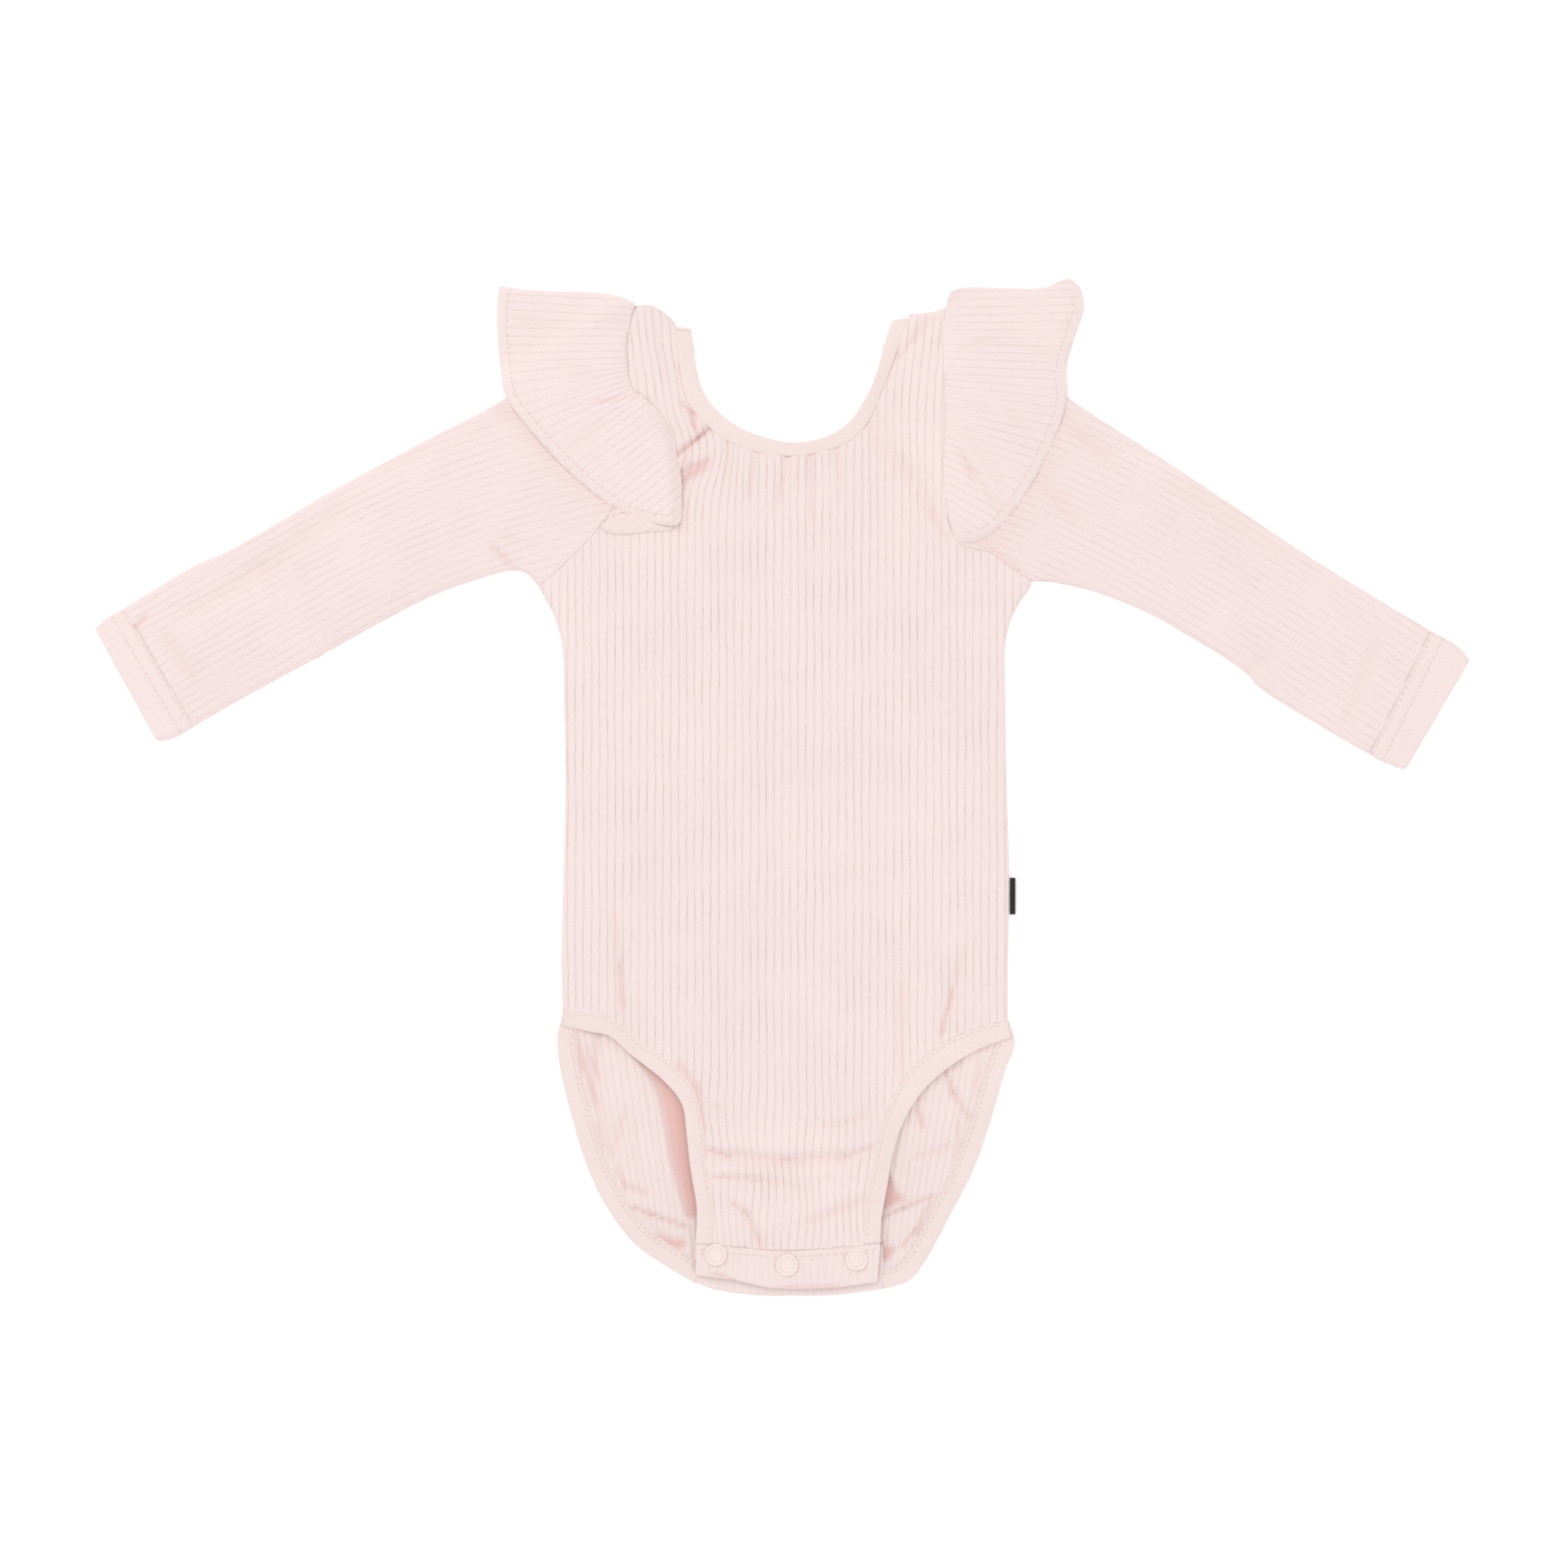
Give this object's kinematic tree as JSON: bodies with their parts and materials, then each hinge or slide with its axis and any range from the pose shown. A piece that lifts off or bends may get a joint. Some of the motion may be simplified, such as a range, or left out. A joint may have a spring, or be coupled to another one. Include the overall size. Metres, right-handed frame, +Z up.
{
  "type": "baby bodysuit",
  "caption": "Long-sleeved rib-knit baby bodysuit laid flat, front up, with a scoop neck, shoulder frills, cuffs and a snap-closed crotch.",
  "frame": {"origin": "middle of the garment's bounding box, on the surface it lies on", "axes": "+X along the sleeve span to the picture's right, +Y from the crotch to the shoulders, +Z up through the layers to the front of the garment"},
  "size_m": [0.6101, 0.4516, 0.0083],
  "materials": {
    "rib_knit": "matte rib knit",
    "smooth_knit": "matte smooth knit",
    "snap_plastic": "satin moulded plastic",
    "label_tape": "matte woven tape"
  },
  "bodies": {
    "root": {"back_panel": "rib_knit", "front_panel": "rib_knit", "sleeve_left": "rib_knit", "sleeve_right": "rib_knit", "cuff_left": "rib_knit", "cuff_right": "rib_knit", "frill_left": "rib_knit", "frill_right": "rib_knit", "neck_band": "smooth_knit", "leg_band_front_left": "smooth_knit", "leg_band_front_right": "smooth_knit", "leg_band_back_left": "smooth_knit", "leg_band_back_right": "smooth_knit", "snap_band_front": "rib_knit", "crotch_flap_back": "rib_knit", "snap_1": "snap_plastic", "snap_2": "snap_plastic", "snap_3": "snap_plastic", "side_label": "label_tape"}
  },
  "joints": []
}
